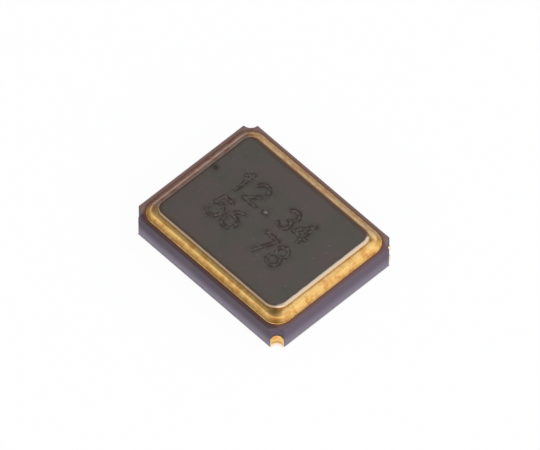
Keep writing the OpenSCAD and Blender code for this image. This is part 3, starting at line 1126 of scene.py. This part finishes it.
# %% Ceramic
FRONT_DEPTHS = (0.020, 0.005)
FRONT_SHADE = 0.56
PAINTED_FLOOR_LIGHT_HEIGHT = 0.26
TOP_SHADE_HEIGHT = 0.13
MARGIN_OVERLAP = 0.08
MARGIN_FADE = 0.06
CORNER_REACH = (0.07, 0.13)
SEAL_SHADE_AND_STAIN_REACH = 0.058


def ceramic_walls(finish, cloud):
    """Clouded colour, darkened by painted shade at -y and near the top, lit by painted floor light at the
    foot.
    """
    body = finish.ramp(cloud, (0.3, colour(67, 53, 69)), (0.7, colour(76, 61, 79)))
    # Painted shade: the wall at -y is darkened by a fixed share towards dark violet.
    front = finish.rise("Y", *(depth - package_half[1] for depth in FRONT_DEPTHS))
    body = finish.blend(front, body, finish.blend(FRONT_SHADE, body, colour(49, 31, 51)))
    # Painted light from the white floor: paler towards the foot, most of all on the wall at -y.
    floor_lit_span = (ceramic_z * MM, (ceramic_z + PAINTED_FLOOR_LIGHT_HEIGHT) * MM)
    foot = finish.scaled(finish.part("Z"), *floor_lit_span, 1.0, 0.0, "SMOOTHSTEP")
    foot = finish.combined("MULTIPLY", foot, finish.scaled(front, 0.0, 1.0, 0.6, 1.0))
    body = finish.blend(foot, body, colour(123, 114, 129))
    # Painted shade: darker and browner towards the top of the walls, under the seal.
    return finish.blend(finish.rise("Z", wall_z - TOP_SHADE_HEIGHT, wall_z, 0.4), body, colour(64, 46, 58))


def ceramic_top(finish):
    """Brown margins, one darkened by painted shade and two lightened by painted light, with violet corners,
    and brown staining and painted shade next to the seal.
    """
    start = band_half - MARGIN_OVERLAP
    stop = start + MARGIN_FADE
    away = finish.beyond(band_half, RING_R + BRAZE_REACH)
    corner = finish.scaled(away, CORNER_REACH[0] * MM, CORNER_REACH[1] * MM, 0.0, 1.0)
    # Painted shade: the margin at -y is darkened, less so towards the corners.
    dark = finish.combined("SUBTRACT", finish.rise("Y", -start[1], -stop[1]), corner)
    # Painted light: the margins at +y and -x are lightened.
    behind = finish.rise("Y", start[1], stop[1])
    pale = finish.combined("MAXIMUM", behind, finish.rise("X", -start[0], -stop[0]))
    top = finish.blend(dark, colour(103, 82, 88), colour(72, 52, 56))
    top = finish.blend(pale, top, colour(128, 102, 94))
    top = finish.blend(corner, top, colour(95, 77, 89))
    # Next to the seal: partly painted shade at the seal's foot, partly brown stain from plating bath and
    # braze.
    seal_shade_and_stain = finish.scaled(away, 0.0, SEAL_SHADE_AND_STAIN_REACH * MM, 1.0, 0.0)
    return finish.blend(seal_shade_and_stain, top, finish.blend(dark, colour(112, 64, 32), colour(88, 50, 24)))


def ceramic_finish():
    """Walls and top with a few pale grains, matt, on a finely grained and slightly wavy surface."""
    finish = Finish("dark alumina")
    cloud = finish.noise(0.35, 4.0)
    grain = finish.noise(0.012, 2.0)
    on_top = finish.rise("Z", wall_z - 0.010, wall_z - 0.002)
    body = finish.blend(on_top, ceramic_walls(finish, cloud), ceramic_top(finish))
    body = finish.blend(finish.scaled(grain, 0.62, 0.75, 0.0, 0.4), body, colour(118, 104, 118))
    finish.drive("Base Color", body)
    finish.drive("Roughness", finish.scaled(cloud, 0.3, 0.7, 0.5, 0.62))
    finish.bump(finish.combined("ADD", grain, finish.noise(0.05, 3.0)), 0.0016, 0.7)
    return finish


keep("ceramic", ceramic_finish())

# %% [markdown]
# The gold on the ring is bright and a little rough, with orange patches where the layer is thin over
# the nickel. Painted shade browns it right under the lid's edge, at the corner at +x -y and in small
# spots at the corners. On the two sides at +y and -x it is duller and greyer, from painted shade and
# a painted cool reflection, most of all at -x. The plating in the notches is the same gold with a
# brown belt of painted shade, and a pale foot of painted reflection of the white floor. The braze
# slope has the gold on a rougher skin, so it is duller. Each is a metal, whose colour is the colour
# of its reflection.

# %% Gold
LEFT_COOL_REFLECTION = (1.0, 1.0, 1.6, 1.0)
SEAM_WIDTH = 0.010
SEAM_SHADE = 0.32


def painted_seam_shade(finish):
    """How far painted shade browns the gold: along the seam on the ring's land, and in the spots of painted
    shade.
    """
    away = finish.beyond(lid_half, LID_R[0])
    seam = finish.scaled(away, 0.002 * MM, SEAM_WIDTH * MM, SEAM_SHADE, 0.0)
    seam = finish.combined("MULTIPLY", seam, finish.rise("Z", lid_z - 0.020, lid_z - 0.012))
    return finish.combined("MAXIMUM", seam, finish.attribute("spot_shade"))


def gold_finish(name, bright, deep, shine, far_shade_tint):
    """Plated metal that wanders between two golds, with fine scratches and a fine grain."""
    finish = Finish(name, Metallic=1.0)
    cloud = finish.noise(0.11, 5.0, 0.6)
    fine = finish.noise(0.018, 3.0, 0.6)
    patches = finish.ramp(cloud, (0.36, deep), (0.56, bright))
    gold = finish.blend(finish.scaled(fine, 0.3, 0.75, 0.0, 0.45), patches, deep)
    # Painted shade and a painted cool reflection: the sides at +y and -x are darker and bluer, most at -x.
    gold = finish.blend(finish.attribute("far"), gold, far_shade_tint, "MULTIPLY")
    gold = finish.blend(finish.attribute("left"), gold, LEFT_COOL_REFLECTION, "MULTIPLY")
    # Painted shade: browner along the seam under the lid's edge and in the spots.
    gold = finish.blend(painted_seam_shade(finish), gold, colour(128, 88, 44))
    # Painted reflection of the white floor: the notch plating is pale at its foot.
    gold = finish.blend(finish.attribute("foot"), gold, colour(255, 240, 226))
    # Painted shade: the brown belt on the notch plating and at the seal's corner at +x -y.
    finish.drive("Base Color", finish.blend(finish.attribute("belt"), gold, colour(176, 120, 52)))
    finish.drive("Roughness", finish.scaled(fine, 0.3, 0.7, shine, shine + 0.16))
    finish.bump(finish.combined("ADD", fine, finish.noise(0.05, 4.0)), 0.0016, 0.8)
    return finish


ring_gold = dict(bright=colour(248, 211, 134), deep=colour(224, 164, 92))
keep("gold_plating", gold_finish("gold plating", **ring_gold, shine=0.28, far_shade_tint=(0.82, 0.82, 1.08, 1.0)))
braze_gold = dict(bright=colour(248, 207, 127), deep=colour(218, 156, 86))
keep("braze", gold_finish("plated braze", **braze_gold, shine=0.34, far_shade_tint=(0.65, 0.68, 0.98, 1.0)))

# %% [markdown]
# The lid is the same alloy with a thin nickel plate. Its face is dull and dark, with faint clouds of
# green-grey and violet-grey and a few painted glints as pale specks, and heat has browned a narrow
# border. At +y the border is much browner with painted shade. The weld has left its edge clean and
# bright, and a painted highlight brightens the rolled edge along +x and, more dully, along -y. The
# laser has left a broken, darker line along each side of a stroke, a brown halo round it in places,
# and glints in its middle. The point between the digits came out pale, and one small pit near the
# edge at -x is dark.

# %% Lid


def lid_face(finish, fine):
    """Two close greys in soft clouds, darker in the fine grain, with painted glints and brown borders, the
    one at +y painted shade.
    """
    cloud = finish.noise(0.55, 2.0)
    face = finish.ramp(cloud, (0.40, colour(129, 122, 108)), (0.60, colour(136, 122, 111)))
    face = finish.blend(finish.scaled(fine, 0.3, 0.8, 0.0, 0.25), face, colour(121, 111, 99))
    # Painted glints: a few pale specks.
    painted_glints = finish.scaled(finish.noise(0.03, 0.0), 0.80, 0.84, 0.0, 0.5)
    face = finish.blend(painted_glints, face, colour(190, 186, 176))
    border = finish.scaled(finish.beyond(lid_half, LID_R[0]), -0.11 * MM, -0.04 * MM, 0.0, 0.4)
    face = finish.blend(border, face, colour(136, 102, 76))
    # Painted shade: the border along +y is much browner.
    behind = finish.rise("Y", lid_half[1] - 0.12, lid_half[1] - 0.02, 0.75)
    return finish.blend(behind, face, colour(118, 78, 50))


def marked(finish, face):
    """The face with the laser's halo, glints and broken lines, the pale point and the dark pit."""
    uneven = finish.scaled(finish.noise(0.10, 3.0), 0.40, 0.58, 0.0, 0.65)
    glints = finish.scaled(finish.noise(0.035, 1.0), 0.58, 0.66, 0.0, 0.6)
    broken = finish.scaled(finish.noise(0.05, 2.0), 0.36, 0.56, 0.15, 1.0)
    for label, pattern, shade in (
        ("mark_heat", uneven, colour(102, 84, 76)),
        ("mark", glints, colour(164, 152, 138)),
        ("mark_rim", broken, colour(80, 68, 60)),
    ):
        face = finish.blend(finish.combined("MULTIPLY", finish.attribute(label), pattern), face, shade)
    face = finish.blend(finish.attribute("dot"), face, colour(178, 166, 150))
    return finish.blend(finish.attribute("pit"), face, colour(86, 72, 62))


def lid_finish():
    """The marked face, and a bright weld along the edge that is a little smoother."""
    finish = Finish("lid metal", Metallic=1.0)
    fine = finish.noise(0.02, 3.0, 0.6)
    weld = finish.attribute("weld")
    face = marked(finish, lid_face(finish, fine))
    # Bright weld metal, with a painted highlight along +x and, duller, along -y.
    finish.drive("Base Color", finish.blend(weld, face, colour(216, 195, 168)))
    finish.drive("Roughness", finish.scaled(weld, 0.0, 1.0, 0.28, 0.22))
    finish.bump(finish.combined("ADD", fine, finish.noise(0.006, 2.0)), 0.0010, 0.6)
    return finish


keep("lid_metal", lid_finish())

# %% [markdown]
# The sealed pieces are seen only when the lid is off, but they are finished as well: clear quartz,
# bright silver films, grey glue full of silver flakes, and dull tungsten.

# %% Inside pieces


def quartz_finish():
    """Clear and nearly colourless, with a faint haze on its lapped faces."""
    finish = Finish("quartz", Roughness=0.12, IOR=1.54, Transmission_Weight=0.85)
    shades = ((0.3, colour(226, 234, 236)), (0.7, colour(240, 246, 247)))
    finish.drive("Base Color", finish.ramp(finish.noise(0.5, 2.0), *shades))
    finish.bump(finish.noise(0.01, 2.0), 0.0004, 0.4)
    return finish


def film_finish():
    """Bright silver whose shine wanders a little."""
    finish = Finish("silver film", Metallic=1.0)
    cloud = finish.noise(0.2, 3.0)
    shades = ((0.3, colour(200, 200, 204)), (0.7, colour(222, 222, 224)))
    finish.drive("Base Color", finish.ramp(cloud, *shades))
    finish.drive("Roughness", finish.scaled(cloud, 0.3, 0.7, 0.18, 0.28))
    finish.bump(finish.noise(0.02, 2.0), 0.0004, 0.4)
    return finish


def flaked_finish(name, flake_mm, detail, shades, height_mm, **constants):
    """Rough skin of fine flakes or grains, which are lighter where they stand higher."""
    finish = Finish(name, **constants)
    flakes = finish.noise(flake_mm, detail)
    finish.drive("Base Color", finish.ramp(flakes, *shades))
    finish.bump(flakes, height_mm, 0.8)
    return finish


keep("quartz", quartz_finish())
keep("electrode_film", film_finish())
flakes = ((0.4, colour(128, 128, 130)), (0.65, colour(186, 186, 188)))
keep("silver_glue", flaked_finish("silver glue", 0.012, 2.0, flakes, 0.003, Metallic=0.4, Roughness=0.6))
grains = ((0.35, colour(84, 84, 88)), (0.7, colour(118, 118, 122)))
keep("tungsten", flaked_finish("fired tungsten", 0.01, 3.0, grains, 0.002, Metallic=0.8, Roughness=0.65))

# %% Give every piece its finish
for part in frame["record"]["subparts"]:
    for holder in solids[part["node"]].material_slots:
        holder.material = finishes[part["material_slot"]]
for piece in list(bpy.data.objects):
    if piece.type == "MESH" and piece.name not in solids:
        piece.data.materials.append(finishes[piece["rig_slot"]])
print("finishes:", len(finishes))

# %% [markdown]
# ## Floor
#
# The package stands on a white sweep. The floor is matt white, and it also shines for the camera and
# for mirror reflections, which takes its grey away. Under the package it is painted grey as a
# contact shadow and doesn't shine for the camera, so that the gap between the solder pads stays dark.
# It lies just under the pads, and seen from below it is clear, so that the underside can be looked at.

# %% Floor
FLOOR_HALF = 1500.0
FLOOR_GLOW = 0.95
FLOOR_EDGE = 0.012
FLOOR_Z = -0.002


def white_floor():
    """A square far wider than the view, whose white is a mix of paint and glow, and clear from below."""
    corners = np.array([[-1, -1, 0], [1, -1, 0], [1, 1, 0], [-1, 1, 0]]) * FLOOR_HALF
    mesh = bpy.data.meshes.new("floor")
    mesh.from_pydata(((corners + [0, 0, FLOOR_Z]) * MM).tolist(), [], [[0, 1, 2, 3]])
    floor = bpy.data.objects.new("floor", mesh)
    bpy.context.scene.collection.objects.link(floor)
    finish = Finish("white sweep", Roughness=0.9)
    ray = finish.add("ShaderNodeLightPath")
    from_corner = finish.vector("LENGTH", finish.past(package_half))
    in_notch = finish.combined("SUBTRACT", NOTCH_R * MM, from_corner)
    clear = finish.combined("MAXIMUM", finish.beyond(package_half, 0.0), in_notch)
    clear = finish.scaled(clear, 0.0, FLOOR_EDGE * MM, 0.0, 1.0)
    # Painted shadow: the floor is grey under the package and white outside it.
    finish.drive("Base Color", finish.blend(clear, colour(170, 162, 174), colour(247, 247, 248)))
    seen = finish.combined("MULTIPLY", ray.outputs["Is Camera Ray"], clear)
    seen = finish.combined("MAXIMUM", seen, ray.outputs["Is Glossy Ray"])
    seen = finish.combined("MAXIMUM", seen, ray.outputs["Is Transmission Ray"])
    glowing = finish.combined("MULTIPLY", seen, FLOOR_GLOW)
    below = finish.add("ShaderNodeNewGeometry").outputs["Backfacing"]
    surface = finish.shader.outputs[0]
    for share, kind in ((glowing, "ShaderNodeEmission"), (below, "ShaderNodeBsdfTransparent")):
        mix = finish.add("ShaderNodeMixShader")
        for output, socket in zip((share, surface, finish.add(kind).outputs[0]), mix.inputs):
            finish.join(output, socket)
        surface = mix.outputs[0]
    finish.join(surface, finish.tree.nodes["Material Output"].inputs["Surface"])
    mesh.materials.append(finish.material)
    print("floor finish, nodes:", len(finish.tree.nodes))


white_floor()

# %% [markdown]
# ## Light
#
# Metal shows what stands round it. The room is like a white tent with a dark flag held over it on
# the left and towards the back, which is just where the flat lid mirrors it: so the lid stays dark,
# and every slope catches more light the further it turns away. Near the flag the light is a little
# cooler. One large softbox hangs behind and a little to the right, drawn into the world as a bright
# disc. Its edge lies just beside the direction that the lid mirrors, so the ring's land brightens on
# the side where it tilts that way. Lamps could stand for the tent and the softbox, but the world is
# infinitely far away, so a part a few millimetres long sees it from one point. A low lamp on the
# right fills the matt ceramic on that side, and no mirror sees it.

# %% World
FLAG_WAY = np.array([-0.55, 0.49, 0.68])
FLAG_LIGHT = 0.09
FLAG_TINT = (0.92, 0.98, 1.14, 1.0)
FLAG_TINT_COSINES = (0.4, 0.9)
TENT_LIGHT = 1.0
SOFTBOX_WAY = np.array([0.20, 0.78, 0.60])
SOFTBOX_ANGLE = math.radians(41.5)
SOFTBOX_EDGE = math.radians(2)
SOFTBOX_LIGHT = 1.12


def tent():
    """World that is darkest towards the flag: FLAG_LIGHT + TENT_LIGHT (1 - d).

    Here d is the cosine of the angle between a direction and the one towards the flag. Within
    SOFTBOX_ANGLE of the softbox's direction, the softbox takes the tent's place.
    """
    world = bpy.data.worlds.new("white tent")
    bpy.context.scene.world = world
    world.use_nodes = True
    nodes = Nodes(world.node_tree)
    background = nodes.tree.nodes["Background"]
    way = nodes.add("ShaderNodeTexCoord").outputs["Generated"]

    def cosine_to(direction):
        """Cosine of the angle to a direction: the dot product of two unit vectors."""
        unit = direction / np.linalg.norm(direction)
        return nodes.vector("DOT_PRODUCT", way, tuple(unit.tolist()))

    facing = cosine_to(FLAG_WAY)
    cloth = nodes.combined("MULTIPLY_ADD", facing, -TENT_LIGHT, FLAG_LIGHT + TENT_LIGHT)
    edges = (math.cos(SOFTBOX_ANGLE + SOFTBOX_EDGE), math.cos(SOFTBOX_ANGLE - SOFTBOX_EDGE))
    in_softbox = nodes.scaled(cosine_to(SOFTBOX_WAY), *edges, 0.0, 1.0)
    difference = nodes.combined("MULTIPLY_ADD", cloth, -1.0, SOFTBOX_LIGHT)
    strength = nodes.combined("MULTIPLY_ADD", difference, in_softbox, cloth)
    nodes.join(strength, background.inputs["Strength"])
    near_flag = nodes.scaled(facing, *FLAG_TINT_COSINES, 0.0, 1.0)
    tint = nodes.blend(near_flag, (1.0, 1.0, 1.0, 1.0), FLAG_TINT)
    nodes.join(tint, background.inputs["Color"])
    print("world nodes:", len(nodes.tree.nodes))


tent()

# %% Low lamp
FILL_WAY = np.array([0.92, -0.10, 0.38])
FILL_ANGLE = math.radians(30)
FILL_DISTANCE = 0.6
FILL_LIGHT = 1.5


def turned_to(place, target, up=(0, 0, 1)):
    """Placement whose own z axis points from the target back to the place, as lamps and cameras need."""
    back = np.array(place) - np.array(target)
    back /= np.linalg.norm(back)
    right = np.cross(up, back)
    right /= np.linalg.norm(right)
    placement = np.eye(4)
    placement[:3, :4] = np.stack([right, np.cross(back, right), back, place], 1)
    return Matrix(placement.tolist())


def fill():
    """Disc of light whose half width is its distance times the tangent of its half angle.

    A flat lamp of power P and area A shines with the brightness P / (pi A).
    """
    radius = FILL_DISTANCE * math.tan(FILL_ANGLE)
    data = bpy.data.lights.new("fill", "AREA")
    data.shape = "DISK"
    data.size = 2 * radius
    data.energy = FILL_LIGHT * math.pi * math.pi * radius * radius
    lamp = bpy.data.objects.new("fill", data)
    lamp.visible_camera = False
    lamp.visible_glossy = False
    bpy.context.scene.collection.objects.link(lamp)
    place = FILL_WAY / np.linalg.norm(FILL_WAY) * FILL_DISTANCE
    lamp.matrix_world = turned_to(place, (0, 0, 0))
    print("lamp power in watts:", round(data.energy, 2))


fill()

# %% [markdown]
# ## Camera
#
# A long lens from far away, so that parallel edges stay nearly parallel, as in a close-up of
# something this small. The camera looks down at a little over 54 degrees across one corner. Its aim
# is given from the middle of the package, in the picture's own right and up.

# %% Camera
AZIMUTH = math.radians(46.41)
ELEVATION = math.radians(54.21)
CAMERA_DISTANCE = 225.6
LENS = 994.0
SENSOR_WIDTH = 36.0
CLIP = (0.01, 10.0)
AIM_HEIGHT = 0.35
AIM_RIGHT = 0.094
AIM_UP = 0.078


def camera():
    """Camera that looks along minus back: the azimuth's direction, lifted by the elevation."""
    level = math.cos(ELEVATION)
    back = np.array([math.sin(AZIMUTH) * level, -math.cos(AZIMUTH) * level, math.sin(ELEVATION)])
    right = np.array([math.cos(AZIMUTH), math.sin(AZIMUTH), 0.0])
    up = np.cross(back, right)
    aim = np.array([0.0, 0.0, AIM_HEIGHT]) + AIM_RIGHT * right + AIM_UP * up
    data = bpy.data.cameras.new("camera")
    data.lens = LENS
    data.sensor_width = SENSOR_WIDTH
    data.clip_start, data.clip_end = CLIP
    eye = bpy.data.objects.new("camera", data)
    bpy.context.scene.collection.objects.link(eye)
    place = (aim + CAMERA_DISTANCE * back) * MM
    eye.matrix_world = turned_to(place, aim * MM)
    bpy.context.scene.camera = eye
    print("camera in metres:", np.round(place, 4))


camera()
bpy.context.scene.view_settings.view_transform = "Standard"
